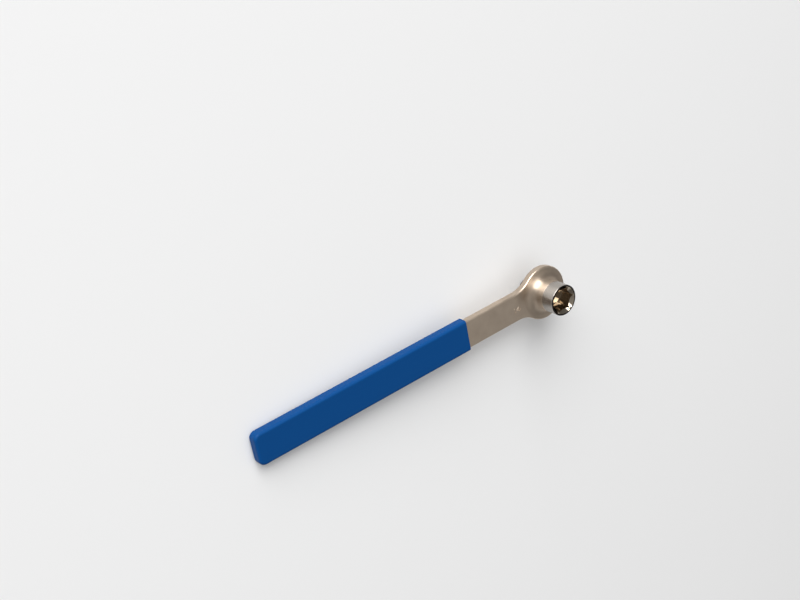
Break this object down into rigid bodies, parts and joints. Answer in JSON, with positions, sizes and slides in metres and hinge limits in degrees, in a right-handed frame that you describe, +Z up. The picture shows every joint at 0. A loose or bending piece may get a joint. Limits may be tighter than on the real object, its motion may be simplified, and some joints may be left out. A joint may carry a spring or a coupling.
{
  "type": "crank bolt socket wrench",
  "caption": "Flat steel hand wrench with a vinyl-dipped grip, a hexagon socket on one face of its round head and a hexagon bit on the other.",
  "frame": {"origin": "on the surface that the wrench lies on, under the middle of its box", "axes": "+X along the handle towards the end of the grip, +Z up; the socket's mouth looks up and leans 3.3 degrees towards +X, because the wrench lies on the tip of its bit and on the end of its grip"},
  "size_m": [0.2436, 0.0358, 0.0381],
  "materials": {
    "satin_nickel_plate": "satin nickel plate over a tumbled forging",
    "bright_chrome": "turned and polished, bright plated",
    "blackened_steel": "hardened steel, black oxide",
    "blue_vinyl": "dipped vinyl with a soft gloss"
  },
  "bodies": {
    "root": {"wrench_body": "satin_nickel_plate", "socket": "bright_chrome", "hex_bit": "blackened_steel", "grip": "blue_vinyl"}
  },
  "joints": []
}
